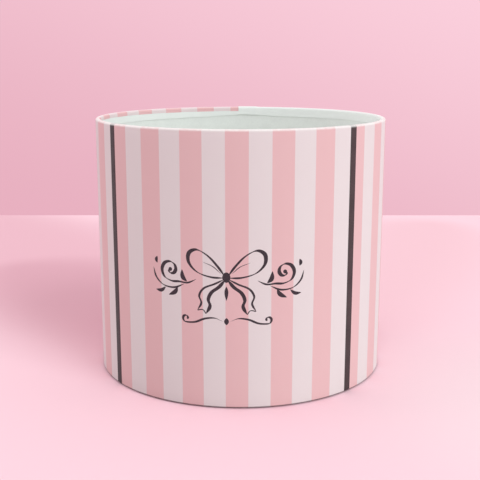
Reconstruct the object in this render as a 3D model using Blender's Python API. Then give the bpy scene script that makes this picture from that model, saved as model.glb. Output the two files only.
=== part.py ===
"""Round hatbox without a lid: a wall of rolled greyboard on a stepped base, covered with striped paper.

The box stands on its base cover at z = 0 with its axis on +Z. An azimuth is an angle about +Z, counted
from the front, which faces -Y, and growing towards +X. A sheet's path is a list of (radius, height)
points on the face of the sheet that shows, and the sheet's thickness lies behind that face.
"""

import collections
import math

import bmesh
import bpy
from mathutils import Vector

# Overall size over the printed wrap
OUTER_DIAMETER = 0.160
OVERALL_HEIGHT = 0.140

# Boards and papers, with the glue line that parts two glued sheets
WALL_BOARD = 0.0009
BASE_BOARD = 0.0012
WRAP_PAPER = 0.0002
LINING_PAPER = 0.0002
FLOOR_PAPER = 0.00025
COVER_PAPER = 0.00025
GLUE_LINE = 0.0001

# Butt joints of the two wall plies, half a turn apart
PLY_JOINT_GAP = 0.0005
OUTER_PLY_JOINT_AZIMUTH = math.radians(160.0)
INNER_PLY_JOINT_AZIMUTH = math.radians(-20.0)

# Rim and foot, where the wrap turns round the wall
RIM_ROUNDING_SHARE = 0.4
PLY_ROUNDING_SHARE = 0.85
BOARD_FOOT_ROUNDING = 0.0003

# Wrap: its lap at the back, its turned-in edge at the rim and its saw-toothed tabs under the base
WRAP_SEAM_AZIMUTH = math.radians(181.0)
WRAP_LAP = 0.010
TURN_IN_DEPTH = 0.0059
TURN_IN_SNIP_DEPTH = 0.0016
TURN_IN_SNIP_LENGTH = 0.030
WRAP_TAB = 0.012
WRAP_TAB_NOTCH = 0.0020

# Print on the wrap: even stripes, a dark line on each side of the front, and a skewed end past the rim
STRIPE_WIDTH = 0.0113
PRINT_CENTRE_AZIMUTH = math.radians(-5.25)
STRIPES_TO_SIDE_LINE = 6
SIDE_LINE_WIDTH = 0.0042
SIDE_LINE_TRAP = 0.0004
PRINT_RUN_OVER = 0.0019
PRINT_SKEW = 0.0020
PRINT_SKEW_TURN_SHARE = 0.6
PRINT_END_CLEARANCE = 0.0003

# Lining: its lap behind the front wall, its top edge under the turn-in and its tabs on the base
LINING_SEAM_AZIMUTH = math.radians(12.0)
LINING_LAP = 0.008
LINING_TOP_MARGIN = 0.0010
LINING_FOLD_ROUNDING = 0.0003
LINING_TAB = 0.008
LINING_TAB_NOTCH = 0.0015
LINING_TAB_PITCH = 0.010

# Laps: the ramp that climbs onto the sheet's start, and what is left of a tab that is cut off there
LAP_RAMP = 0.004
LAP_CLEARANCE = 0.0005
LAP_STUB = 0.0002

# Paper discs: how far they keep from the fold round them
FLOOR_MARGIN = 0.0003
COVER_MARGIN = 0.0015

# Fineness of round shapes
STRAY_SHARE = 0.5
ROUNDING_STEPS = 3
FOLD_STEPS = 2
SMOOTH_BELOW = math.radians(50.0)

# Colours, as sRGB values up to 255
WHITE_PAPER_COLOUR = (246, 238, 238)
PINK_INK_COLOUR = (236, 178, 182)
DARK_INK_COLOUR = (66, 56, 62)
BACK_COLOUR = (240, 237, 232)
LINING_COLOUR = (228, 229, 224)
FLOOR_COLOUR = (230, 231, 226)
COVER_COLOUR = (238, 233, 229)
OUTER_PLY_COLOUR = (158, 152, 142)
INNER_PLY_COLOUR = (166, 160, 150)
LOWER_BASE_COLOUR = (152, 147, 138)
UPPER_BASE_COLOUR = (161, 156, 146)
PRINT_ROUGHNESS = 0.5
PAPER_ROUGHNESS = 0.8
BOARD_ROUGHNESS = 0.9

# Radii of the faces through the wall, from outside to inside
outer_radius = OUTER_DIAMETER / 2
outer_ply_radius = outer_radius - WRAP_PAPER - GLUE_LINE
outer_ply_bore = outer_ply_radius - WALL_BOARD
inner_ply_radius = outer_ply_bore - GLUE_LINE
inner_ply_bore = inner_ply_radius - WALL_BOARD
lining_radius = inner_ply_bore - GLUE_LINE - LINING_PAPER
turn_in_radius = lining_radius - GLUE_LINE - WRAP_PAPER
wall_thickness = outer_radius - turn_in_radius

# Heights of the faces through the base, from the table up
tab_height = COVER_PAPER + GLUE_LINE
base_height = tab_height + WRAP_PAPER + GLUE_LINE
upper_board_height = base_height + BASE_BOARD + GLUE_LINE
lining_foot_height = upper_board_height + BASE_BOARD + GLUE_LINE + LINING_PAPER
floor_height = lining_foot_height + GLUE_LINE
board_top = OVERALL_HEIGHT - WRAP_PAPER - GLUE_LINE

# How far a lapped end is lifted, and the roundings that follow from the sheets
wrap_lift = WRAP_PAPER + GLUE_LINE
lining_lift = LINING_PAPER + GLUE_LINE
rim_rounding = RIM_ROUNDING_SHARE * wall_thickness
ply_rounding = min(rim_rounding - wrap_lift, PLY_ROUNDING_SHARE * WALL_BOARD)
foot_rounding = BOARD_FOOT_ROUNDING + wrap_lift
lining_rounding = LINING_FOLD_ROUNDING + lining_lift

# Angles that follow from widths along the outside of the wall
stripe_turn = STRIPE_WIDTH / outer_radius
side_line_start = (STRIPES_TO_SIDE_LINE * STRIPE_WIDTH - SIDE_LINE_TRAP) / outer_radius
side_line_end = side_line_start + SIDE_LINE_WIDTH / outer_radius

WHITE, PINK, DARK, BACK = range(4)
OUTER_FOOT, OUTER_RIM, INNER_RIM = range(3)

Column = collections.namedtuple("Column", "azimuth lift_share trimmed")


def material(name, colour, roughness):
    """A paper or board finish, from its sRGB colour."""
    finish = bpy.data.materials.new(name)
    finish.use_nodes = True
    linear = [((value / 255 + 0.055) / 1.055) ** 2.4 for value in colour]
    shader = finish.node_tree.nodes["Principled BSDF"]
    shader.inputs["Base Color"].default_value = (*linear, 1.0)
    shader.inputs["Roughness"].default_value = roughness
    shader.inputs["Metallic"].default_value = 0.0
    finish.diffuse_color = (*linear, 1.0)
    return finish


def place(radius, azimuth, height):
    """The point at this radius, azimuth and height."""
    return Vector((radius * math.sin(azimuth), -radius * math.cos(azimuth), height))


def finest_step(radius):
    """The widest angle whose chord strays from the circle by no more than its share of a glue line."""
    return 2 * math.acos(1 - STRAY_SHARE * GLUE_LINE / radius)


def arc(centre, radius, start_degrees, end_degrees, steps):
    """Points of an arc in the (radius, height) plane, both ends included."""
    points = []
    for step in range(steps + 1):
        angle = math.radians(start_degrees + (end_degrees - start_degrees) * step / steps)
        points.append((centre[0] + radius * math.cos(angle), centre[1] + radius * math.sin(angle)))
    return points


def finish_object(name, shape, finishes):
    """Makes a named object from a bmesh, smooth on its round faces and crisp on its edges."""
    for face in shape.faces:
        face.smooth = True
    for edge in shape.edges:
        edge.smooth = edge.calc_face_angle(math.pi) < SMOOTH_BELOW
    mesh = bpy.data.meshes.new(name)
    shape.to_mesh(mesh)
    shape.free()
    for finish in finishes:
        mesh.materials.append(finish)
    made = bpy.data.objects.new(name, mesh)
    bpy.context.scene.collection.objects.link(made)
    return made


# Boards and discs


def disc(name, radius, bottom, thickness, finish):
    """A flat disc cut from board or paper."""
    shape = bmesh.new()
    segments = math.ceil(math.tau / finest_step(radius))
    made = bmesh.ops.create_circle(shape, cap_ends=True, radius=radius, segments=segments)
    bmesh.ops.translate(shape, vec=(0, 0, bottom), verts=made["verts"])
    lifted = bmesh.ops.extrude_face_region(shape, geom=shape.faces[:])
    raised = [item for item in lifted["geom"] if isinstance(item, bmesh.types.BMVert)]
    bmesh.ops.translate(shape, vec=(0, 0, thickness), verts=raised)
    bmesh.ops.recalc_face_normals(shape, faces=shape.faces[:])
    return finish_object(name, shape, [finish])


def corner(radius, height, which, rounding):
    """One corner of a ply's outline: a point, or an arc where it is rounded."""
    if not rounding:
        return [(radius, height)]
    centre_radius = radius + rounding if which == INNER_RIM else radius - rounding
    centre_height = height + rounding if which == OUTER_FOOT else height - rounding
    start = {OUTER_FOOT: -90, OUTER_RIM: 0, INNER_RIM: 90}[which]
    return arc((centre_radius, centre_height), rounding, start, start + 90, ROUNDING_STEPS)


def rolled_ply(name, outer, bore, bottom, joint_azimuth, roundings, finish):
    """A strip of board rolled to a ring that reaches the board's top, its two ends all but meeting."""
    section = [(bore, bottom)]
    section += corner(outer, bottom, OUTER_FOOT, roundings.get(OUTER_FOOT))
    section += corner(outer, board_top, OUTER_RIM, roundings.get(OUTER_RIM))
    section += corner(bore, board_top, INNER_RIM, roundings.get(INNER_RIM))
    joint = PLY_JOINT_GAP / outer
    sweep = math.tau - joint
    shape = bmesh.new()
    start = joint_azimuth + joint / 2
    cut_edge = shape.faces.new([shape.verts.new(place(r, start, z)) for r, z in section])
    bmesh.ops.spin(
        shape,
        geom=[cut_edge, *cut_edge.edges, *cut_edge.verts],
        cent=(0, 0, 0),
        axis=(0, 0, 1),
        angle=sweep,
        steps=math.ceil(sweep / finest_step(outer)),
    )
    bmesh.ops.recalc_face_normals(shape, faces=shape.faces[:])
    return finish_object(name, shape, [finish])


# Sheets of paper rolled once round, with one end lapped over the other


def sheet_start(seam_azimuth, radius, lap):
    """Azimuth of the hidden end of a sheet whose other end lies on the seam, a turn and a lap further on."""
    return seam_azimuth - math.tau - lap / radius


def lap_columns(seam_azimuth, radius, lap, marks):
    """The columns of points across a sheet, from its hidden end to the seam.

    Before it reaches its own start, the sheet climbs a ramp by one paper and one glue line, and from the
    foot of that ramp on its tabs are trimmed off. Each mark is an azimuth that gets a column of its own.
    """
    start = sheet_start(seam_azimuth, radius, lap)
    near = LAP_CLEARANCE / radius
    ramp_end = start + math.tau - near
    ramp_start = ramp_end - LAP_RAMP / radius
    fixed = [start, ramp_start, ramp_end, seam_azimuth]
    inside = [mark for mark in marks if start < mark < seam_azimuth]
    free = [mark for mark in inside if all(abs(mark - one) > near for one in fixed)]
    stops = sorted(fixed + free)
    azimuths = []
    for here, after in zip(stops, stops[1:]):
        parts = math.ceil((after - here) / finest_step(radius))
        azimuths += [here + (after - here) * part / parts for part in range(parts)]
    azimuths.append(seam_azimuth)
    climb = ramp_end - ramp_start
    return [
        Column(azimuth, min(max((azimuth - ramp_start) / climb, 0.0), 1.0), azimuth >= ramp_start)
        for azimuth in azimuths
    ]


def tooth_share(azimuth, origin, pitch):
    """How far a saw-toothed edge reaches here: 0 in a notch, 1 at a tip half a pitch on."""
    return 1 - abs(2 * ((azimuth - origin) / pitch % 1) - 1)


def rolled_sheet(name, columns, path_at, thickness, finishes, slot_at):
    """A sheet of paper: one path of points for each column, thickened behind the face that shows."""
    shape = bmesh.new()
    grid = []
    for column in columns:
        grid.append([shape.verts.new(place(r, column.azimuth, z)) for r, z in path_at(column)])
    for index, (left, right) in enumerate(zip(grid, grid[1:])):
        middle = (columns[index].azimuth + columns[index + 1].azimuth) / 2
        for row in range(len(left) - 1):
            face = shape.faces.new((left[row], left[row + 1], right[row + 1], right[row]))
            face.material_index = slot_at(middle, row)
    sheet = finish_object(name, shape, finishes)
    paper = sheet.modifiers.new("paper", "SOLIDIFY")
    paper.thickness = thickness
    paper.offset = -1.0
    paper.use_even_offset = True
    paper.material_offset = len(finishes)
    return sheet


# Outer wrap


def print_marks():
    """Azimuths of every edge in the print, and of the middle of each stripe."""
    edges = (side_line_start, side_line_end)
    lines = [PRINT_CENTRE_AZIMUTH + side * edge for side in (-1, 1) for edge in edges]
    halves = math.ceil(2 * math.tau / stripe_turn)
    stripes = [PRINT_CENTRE_AZIMUTH + half * stripe_turn / 2 for half in range(-halves, halves + 1)]
    near = SIDE_LINE_TRAP / 2 / outer_radius
    return lines + [mark for mark in stripes if all(abs(mark - line) > near for line in lines)]


def print_end(azimuth):
    """How far the print runs in past the middle of the rim, which changes as it lies askew on the sheet."""
    return PRINT_RUN_OVER - PRINT_SKEW * math.sin(azimuth * PRINT_SKEW_TURN_SHARE)


def turn_in_depth(azimuth):
    """Depth of the turned-in edge below the rim, less towards the sheet's ends, whose corners are snipped."""
    start = sheet_start(WRAP_SEAM_AZIMUTH, outer_radius, WRAP_LAP)
    from_end = min(azimuth - start, WRAP_SEAM_AZIMUTH - azimuth) * outer_radius
    return TURN_IN_DEPTH - TURN_IN_SNIP_DEPTH * max(0.0, 1 - from_end / TURN_IN_SNIP_LENGTH)


def wrap_path(column):
    """The printed face, from the turned-in edge over the rim and down to the tip of a tab.

    Its second point is where the print ends, or just under the rim's rounding where the print ends above.
    """
    lift = column.lift_share * wrap_lift
    rim = OVERALL_HEIGHT - rim_rounding
    over_rim = (wall_thickness - 2 * rim_rounding + math.pi * rim_rounding) / 2
    printed = max(print_end(column.azimuth) - over_rim, PRINT_END_CLEARANCE)
    path = [
        (turn_in_radius - lift, OVERALL_HEIGHT - turn_in_depth(column.azimuth)),
        (turn_in_radius - lift, rim - printed),
    ]
    path += arc((turn_in_radius + rim_rounding, rim), rim_rounding + lift, 180, 90, ROUNDING_STEPS)
    path += arc((outer_radius - rim_rounding, rim), rim_rounding + lift, 90, 0, ROUNDING_STEPS)
    foot = (outer_radius - foot_rounding, tab_height + foot_rounding)
    path += arc(foot, foot_rounding + lift, 0, -90, FOLD_STEPS)
    reach = tooth_share(column.azimuth, PRINT_CENTRE_AZIMUTH, stripe_turn)
    tip = outer_radius - WRAP_TAB_NOTCH - (WRAP_TAB - WRAP_TAB_NOTCH) * reach
    if column.trimmed:
        tip = foot[0] - LAP_STUB
    path.append((tip, tab_height - lift))
    return path


def wrap_slot(azimuth, row):
    """The finish of one face of the wrap: the print's colour there, or bare paper past its end."""
    crest = 2 + ROUNDING_STEPS
    path = wrap_path(Column(azimuth, 0.0, False))
    widths = [math.dist(here, after) for here, after in zip(path, path[1:])]
    past_middle = widths[crest] / 2 + sum(widths[row + 1 : crest]) + widths[row] / 2
    if row < crest and past_middle > print_end(azimuth):
        return WHITE
    turn = azimuth - PRINT_CENTRE_AZIMUTH
    if side_line_start < abs(turn) < side_line_end:
        return DARK
    return PINK if math.floor(turn / stripe_turn) % 2 == 0 else WHITE


def outer_wrap():
    """The printed sheet round the wall."""
    finishes = [
        material("wrap_white_paper", WHITE_PAPER_COLOUR, PRINT_ROUGHNESS),
        material("wrap_pink_ink", PINK_INK_COLOUR, PRINT_ROUGHNESS),
        material("wrap_dark_ink", DARK_INK_COLOUR, PRINT_ROUGHNESS),
        material("wrap_back_paper", BACK_COLOUR, PAPER_ROUGHNESS),
    ]
    columns = lap_columns(WRAP_SEAM_AZIMUTH, outer_radius, WRAP_LAP, print_marks())
    rolled_sheet("outer_wrap", columns, wrap_path, WRAP_PAPER, finishes, wrap_slot)


# Wall lining


def lining_tab_turn():
    """The angle of one tab, such that a whole number of tabs goes round the wall."""
    return math.tau / round(math.tau * lining_radius / LINING_TAB_PITCH)


def lining_path(column):
    """The lining's bare face, from the tip of a tab out to the wall and up to its top edge."""
    lift = column.lift_share * lining_lift
    fold = (lining_radius - lining_rounding, lining_foot_height + lining_rounding)
    reach = tooth_share(column.azimuth, LINING_SEAM_AZIMUTH, lining_tab_turn())
    tip = lining_radius - LINING_TAB_NOTCH - (LINING_TAB - LINING_TAB_NOTCH) * reach
    top = OVERALL_HEIGHT - rim_rounding - LINING_TOP_MARGIN
    if column.trimmed:
        tip = fold[0] - LAP_STUB
        top = OVERALL_HEIGHT - TURN_IN_DEPTH - LAP_CLEARANCE
    path = [(tip, lining_foot_height + lift)]
    path += arc(fold, lining_rounding - lift, -90, 0, FOLD_STEPS)
    path.append((lining_radius - lift, top))
    return path


def lining_slot(_azimuth, _row):
    """The finish of one face of the lining, which is bare paper all over."""
    return WHITE


def wall_lining():
    """The white sheet on the inside of the wall."""
    half_tab = lining_tab_turn() / 2
    halves = math.ceil(2 * math.tau / half_tab)
    marks = [LINING_SEAM_AZIMUTH - half_tab * half for half in range(halves)]
    columns = lap_columns(LINING_SEAM_AZIMUTH, lining_radius, LINING_LAP, marks)
    finish = material("lining_paper", LINING_COLOUR, PAPER_ROUGHNESS)
    rolled_sheet("wall_lining", columns, lining_path, LINING_PAPER, [finish], lining_slot)


# The whole box


def wall_plies():
    """The two board rings of the wall. The outer one reaches the foot, the inner one stands on the base."""
    rolled_ply(
        "wall_outer_ply",
        outer_ply_radius,
        outer_ply_bore,
        base_height,
        OUTER_PLY_JOINT_AZIMUTH,
        {OUTER_FOOT: BOARD_FOOT_ROUNDING, OUTER_RIM: ply_rounding},
        material("outer_ply_greyboard", OUTER_PLY_COLOUR, BOARD_ROUGHNESS),
    )
    rolled_ply(
        "wall_inner_ply",
        inner_ply_radius,
        inner_ply_bore,
        upper_board_height,
        INNER_PLY_JOINT_AZIMUTH,
        {INNER_RIM: ply_rounding},
        material("inner_ply_greyboard", INNER_PLY_COLOUR, BOARD_ROUGHNESS),
    )


def base():
    """The stepped base: one board inside each ply, with a paper disc under them and one on top."""
    lower_finish = material("lower_base_greyboard", LOWER_BASE_COLOUR, BOARD_ROUGHNESS)
    disc("base_lower_board", outer_ply_bore - GLUE_LINE, base_height, BASE_BOARD, lower_finish)
    upper_finish = material("upper_base_greyboard", UPPER_BASE_COLOUR, BOARD_ROUGHNESS)
    disc("base_upper_board", inner_ply_bore - GLUE_LINE, upper_board_height, BASE_BOARD, upper_finish)
    cover_radius = outer_radius - foot_rounding - LAP_STUB - COVER_MARGIN
    disc("base_cover", cover_radius, 0, COVER_PAPER, material("cover_paper", COVER_COLOUR, PAPER_ROUGHNESS))
    floor_radius = lining_radius - lining_rounding - LAP_STUB - FLOOR_MARGIN
    floor_finish = material("floor_paper", FLOOR_COLOUR, PAPER_ROUGHNESS)
    disc("floor_lining", floor_radius, floor_height, FLOOR_PAPER, floor_finish)


def main():
    """Clears the scene and makes the eight pieces of the box where they lie."""
    for old in list(bpy.data.objects):
        bpy.data.objects.remove(old)
    wall_plies()
    base()
    outer_wrap()
    wall_lining()


main()
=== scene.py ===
"""Looks of a round, open hatbox of rolled greyboard, covered with striped and lined with plain paper.

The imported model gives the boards, which stay as they are. The printed wrap, the lining and the two paper
discs are built again here as fine sheets, each with its real thickness, laps, folds and cut edges.
Lengths are in metres unless a name ends in _mm. An azimuth is an angle about +Z, counted from the front,
which faces -Y, and growing towards +X.
"""

from __future__ import annotations

import logging
import math
from abc import ABC, abstractmethod
from dataclasses import dataclass
from enum import Enum
from functools import partial
from typing import Any, ClassVar, NamedTuple

import bmesh
import bpy
import numpy as np
from mathutils import Euler, Matrix


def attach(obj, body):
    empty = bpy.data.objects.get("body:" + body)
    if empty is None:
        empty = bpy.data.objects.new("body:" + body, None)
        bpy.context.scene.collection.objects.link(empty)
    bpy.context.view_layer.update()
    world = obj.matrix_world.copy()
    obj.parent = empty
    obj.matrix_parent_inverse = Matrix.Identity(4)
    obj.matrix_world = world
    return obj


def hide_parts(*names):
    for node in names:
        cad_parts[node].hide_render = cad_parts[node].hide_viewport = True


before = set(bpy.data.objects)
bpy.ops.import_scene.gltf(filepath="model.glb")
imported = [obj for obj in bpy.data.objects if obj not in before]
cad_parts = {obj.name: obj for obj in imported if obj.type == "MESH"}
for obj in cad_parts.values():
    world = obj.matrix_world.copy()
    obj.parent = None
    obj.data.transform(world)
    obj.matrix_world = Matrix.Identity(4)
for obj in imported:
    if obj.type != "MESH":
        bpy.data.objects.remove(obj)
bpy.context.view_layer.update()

log = logging.getLogger("hatbox")

Tree = bpy.types.NodeTree
Socket = bpy.types.NodeSocket
Point = tuple[float, float]

BODY = "root"
SHEET_MAP = "sheet"

# Sheets and glue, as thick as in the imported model
PAPER = 0.0002
GLUE = 0.0001

# One turn round the box, into which waves of unevenness are fitted
TURN_LENGTH = math.tau * 0.080

# Seeds of the hand-made unevenness
COCKLE_SEED = 11
PUCKER_SEED = 5

# Widest angle between two faces that are shaded as one
SMOOTH_UP_TO = math.radians(50)

# Degrees from one point of a curl to the next
CURL_STEP = 45

# Inputs and output of a Mix node that mixes colours
AMOUNT, UNDER, OVER, MIXED = 0, 6, 7, 2


def linear(hex_colour: str) -> tuple[float, float, float, float]:
    """Turns an sRGB hex colour into linear light.

    Args:
        hex_colour: Six hex digits after a number sign.

    Returns:
        Red, green, blue and an alpha of one.
    """
    values = [int(hex_colour[start : start + 2], 16) / 255 for start in (1, 3, 5)]
    red, green, blue = (v / 12.92 if v <= 0.04045 else ((v + 0.055) / 1.055) ** 2.4 for v in values)
    return red, green, blue, 1.0


def scale_for(size_mm: float) -> float:
    """Gives the texture scale whose cells are size_mm across, on coordinates in metres."""
    return 1000.0 / size_mm


def add_node(
    tree: Tree,
    kind: str,
    inputs: dict[str | int, Any] | None = None,
    output: str | int = 0,
    **settings: Any,
) -> Socket:
    """Adds a node with its settings and links.

    Args:
        tree: The node tree that it goes into.
        kind: The node's type name, without the ShaderNode that they all start with.
        inputs: For an input's name or number, the socket that feeds it or its constant.
        output: The name or number of the output to return.
        settings: Values of the node's own properties.

    Returns:
        That output, ready to feed another node.
    """
    node = tree.nodes.new("ShaderNode" + kind)
    for name, value in settings.items():
        setattr(node, name, value)
    for key, value in (inputs or {}).items():
        if isinstance(value, Socket):
            tree.links.new(value, node.inputs[key])
        else:
            node.inputs[key].default_value = value
    return node.outputs[output] if node.outputs else node.inputs[0]


def seen_directly(tree: Tree) -> Socket:
    """Tells what the viewer sees from what only lights the scene.

    Args:
        tree: The node tree that it goes into.

    Returns:
        One where a surface is seen straight, in a reflection or through glass, else zero.
    """
    seen = add_node(tree, "LightPath", output="Is Camera Ray")
    ways = seen.node.outputs
    for other in (ways["Is Glossy Ray"], ways["Is Transmission Ray"]):
        seen = add_node(tree, "Math", {0: seen, 1: other}, operation="MAXIMUM")
    return seen


def shaded(
    tree: Tree, colour: Socket | str, pattern: Socket, darkest: float, start: float = 0.0, end: float = 1.0
) -> Socket:
    """Darkens a colour where a pattern is low.

    Args:
        tree: The material's node tree.
        colour: The colour, as a socket or in hex.
        pattern: The pattern.
        darkest: What is left of the colour where the pattern is at its start.
        start: Where the pattern starts to lighten.
        end: Where it reaches the full colour.

    Returns:
        The darkened colour.
    """
    full = linear(colour)[:3] if isinstance(colour, str) else colour
    shade = {"Value": pattern, "From Min": start, "From Max": end, "To Min": darkest}
    scaled = {0: full, "Scale": add_node(tree, "MapRange", shade)}
    return add_node(tree, "VectorMath", scaled, operation="SCALE")


# Finishes


class Surface(NamedTuple):
    """What a finish's pattern feeds to its shader."""

    colour: Socket
    roughness: Socket
    relief: Socket


class Finish(ABC):
    """A real material and the way its surface was made."""

    name: str
    relief_depth_mm: float
    ior: float = 1.5

    @abstractmethod
    def surface(self, tree: Tree) -> Surface:
        """Draws the pattern of the finish."""

    def material(self) -> bpy.types.Material:
        """Builds the finish as a material.

        Returns:
            The material, with one Principled shader fed by the pattern.
        """
        material = bpy.data.materials.new(self.name)
        material.use_nodes = True
        tree = material.node_tree
        tree.nodes.clear()
        colour, roughness, relief = self.surface(tree)
        height = {"Height": relief, "Distance": self.relief_depth_mm / 1000, "Strength": 1.0}
        normal = add_node(tree, "Bump", height)
        looks = {"Base Color": colour, "Roughness": roughness, "Normal": normal, "IOR": self.ior}
        add_node(tree, "OutputMaterial", {"Surface": add_node(tree, "BsdfPrincipled", looks)})
        return material


@dataclass(frozen=True)
class PrintLayout:
    """Where the inks lie on the flat sheet, along it and across it from the middle of the rim."""

    radius: float  # Radius of the wall's outside, on which lengths along the sheet are counted
    foot: float  # Where the sheet turns under at the foot
    stripe_width: float = 0.0113
    centre: float = -0.00734  # Place of the pink stripe's edge in the middle of the front
    line_centre: float = -0.0069  # Place that the two side lines lie evenly about
    line_start: float = 0.0669  # Near edge of a side line, from there
    line_width: float = 0.0045
    run_over: float = 0.0019  # How far the print runs in past the middle of the rim at the front
    skew: float = 0.0020  # Half of what the print's end gains and loses round the box
    skew_turn_share: float = 0.6  # Share of a turn that the skew takes for each turn of the box


@dataclass(frozen=True)
class LithoPrintedPaper(Finish):
    """Coated white paper, offset printed with a blush ground, pink stripes and dark lines, and varnished.

    The eye sees flat, even colour with crisp edges, a faint mottle in the ink, and a low, soft sheen. The
    rim, where the sheet is stretched over the board, is rubbed nearly white, and that pale strip also
    paints in the highlight along the rim's rounded edge. The fold at the foot is painted dark, as the
    contact shadow where the box stands on the table.
    """

    layout: PrintLayout
    name: str = "Paper_coated_offset_printed"
    paper: str = "#F8FCF9"
    # Colour of the rubbed rim, whose pale strip also paints the rim's highlight
    fibre: str = "#FDFAF7"
    blush: str = "#F0DCDE"
    pink: str = "#F1BDC0"
    dark: str = "#111315"
    # Colour of the painted contact shadow along the fold at the foot
    foot_shade: str = "#6E5057"
    edge_spread_mm: float = 0.07
    edge_wander_mm: float = 0.08  # How far an ink's edge wanders, as the paper's fibres take the ink
    fray_mm: float = 0.6  # Size of its wanderings
    cloud_mm: float = 14.0  # Size of the clouds that the press leaves in the ink
    mottle_mm: float = 0.9  # Size of the mottle that the paper leaves in it
    fibre_mm: float = 3.0
    grain_mm: float = 0.5  # Size of the sheet's fine tooth
    patchiness_mm: float = 2.2
    rub_and_highlight_middle_mm: float = 0.2  # Middle of the rubbed strip, which also paints the rim's highlight, from the middle of the rim
    rub_and_highlight_half_mm: float = 1.2
    foot_shade_half_mm: float = 0.5  # Half of the strip of painted contact shadow, which starts where the sheet turns under
    foot_shade_spread_mm: float = 0.5
    relief_depth_mm: float = 0.012
    ior: float = 1.38

    def surface(self, tree: Tree) -> Surface:
        """Draws the stripes, the side lines, the print's end on the turned-in edge, the rubbed rim with its
        painted highlight, and the painted contact shadow at the foot.

        Args:
            tree: The material's node tree.

        Returns:
            The print, its gloss and the sheet's tooth.
        """
        node = partial(add_node, tree)
        layout = self.layout
        spread = self.edge_spread_mm / 1000
        sheet = node("UVMap", uv_map=SHEET_MAP)
        along = node("SeparateXYZ", {"Vector": sheet}, "X")
        across = along.node.outputs["Y"]
        fray = node("TexNoise", {"Vector": sheet, "Scale": scale_for(self.fray_mm), "Detail": 2.0})
        place = node("Math", {0: fray, 1: self.edge_wander_mm / 1000, 2: along}, operation="MULTIPLY_ADD")

        # Pink where the distance to the middle of the nearest pink stripe is under half a stripe
        stripe = node("Math", {0: place, 1: layout.centre}, operation="SUBTRACT")
        stripe = node("Math", {0: stripe, 1: layout.stripe_width}, operation="DIVIDE")
        stripe = node("Math", {0: stripe, 1: 0.5}, operation="SUBTRACT")
        stripe = node("Math", {0: stripe, 1: 1.0}, operation="PINGPONG")
        pink = self.band(tree, stripe, 0.5, spread / layout.stripe_width)

        # Dark within half a line's width of the line's middle, on both sides of the centre
        side = node("Math", {0: place, 1: layout.line_centre}, operation="SUBTRACT")
        side = node("Math", {0: side}, operation="ABSOLUTE")
        half = layout.line_width / 2
        dark = self.strip(tree, side, layout.line_start + half, half, spread)

        # The print ends askew on the turned-in edge, and bare paper goes on past it
        swing = node("Math", {0: along, 1: layout.skew_turn_share / layout.radius}, operation="MULTIPLY")
        swing = node("Math", {0: swing}, operation="SINE")
        end = node("Math", {0: swing, 1: layout.skew, 2: -layout.run_over}, operation="MULTIPLY_ADD")
        past = node("Math", {0: end, 1: across}, operation="SUBTRACT")
        printed = self.band(tree, past, 0.0, spread)

        # Ink lies unevenly: broad clouds from the blanket, a fine mottle from the paper
        cloud = node("TexNoise", {"Vector": sheet, "Scale": scale_for(self.cloud_mm), "Detail": 2.0})
        mottle = node("TexNoise", {"Vector": sheet, "Scale": scale_for(self.mottle_mm), "Detail": 4.0})
        cloud = node("MapRange", {"Value": cloud, "To Min": 0.93})
        mottle = node("MapRange", {"Value": mottle, "To Min": 0.94})
        density = node("Math", {0: cloud, 1: mottle}, operation="MULTIPLY")
        density = node("Math", {0: density, 1: printed}, operation="MULTIPLY")
        pink = node("Math", {0: pink, 1: density}, operation="MULTIPLY")
        dark = node("Math", {0: dark, 1: density}, operation="MULTIPLY")

        # The rim stretches and rubs the ink, and the pale rubbed strip also paints the highlight on the
        # rim's rounded edge
        patchiness = node("TexNoise", {"Vector": sheet, "Scale": scale_for(self.patchiness_mm), "Detail": 6.0})
        rub_and_highlight_range = {"Value": patchiness, "From Min": 0.3, "From Max": 0.7, "To Min": 0.55, "To Max": 0.9}
        patchiness = node("MapRange", rub_and_highlight_range)
        half = self.rub_and_highlight_half_mm / 1000
        worn = self.strip(tree, across, self.rub_and_highlight_middle_mm / 1000, half, half)
        worn = node("Math", {0: worn, 1: patchiness}, operation="MULTIPLY")

        # Painted contact shadow darkens the fold at the foot, where the box stands on the table, deeper in
        # some places than in others
        half = self.foot_shade_half_mm / 1000
        foot_shaded = self.strip(tree, across, layout.foot + half, half, self.foot_shade_spread_mm / 1000)
        thick = {"Value": patchiness, "From Min": 0.55, "From Max": 0.9, "To Min": 0.7, "To Max": 0.9}
        foot_shaded = node("Math", {0: foot_shaded, 1: node("MapRange", thick)}, operation="MULTIPLY")

        fibre = node("TexNoise", {"Vector": sheet, "Scale": scale_for(self.fibre_mm), "Detail": 6.0})
        colour = shaded(tree, self.paper, fibre, darkest=0.965)
        layers = (
            (density, self.blush),
            (pink, self.pink),
            (dark, self.dark),
            (worn, self.fibre),
            (foot_shaded, self.foot_shade),
        )
        for amount, over in layers:
            covered = {AMOUNT: amount, UNDER: colour, OVER: linear(over)}
            colour = node("Mix", covered, MIXED, data_type="RGBA")
        grain = node("TexNoise", {"Vector": sheet, "Scale": scale_for(self.grain_mm), "Detail": 5.0})
        gloss = node("MapRange", {"Value": mottle, "From Min": 0.94, "To Min": 0.50, "To Max": 0.60})
        return Surface(colour, gloss, grain)

    def strip(self, tree: Tree, value: Socket, middle: float, half: float, spread: float) -> Socket:
        """Masks what lies near a middle.

        Args:
            tree: The material's node tree.
            value: The measure that is compared.
            middle: The middle of the strip.
            half: How far from there the mask falls to a half.
            spread: Over how much of the measure it falls.

        Returns:
            One well inside the strip, zero well outside it.
        """
        away = add_node(tree, "Math", {0: value, 1: middle}, operation="SUBTRACT")
        away = add_node(tree, "Math", {0: away}, operation="ABSOLUTE")
        return self.band(tree, away, half, spread)

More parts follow.
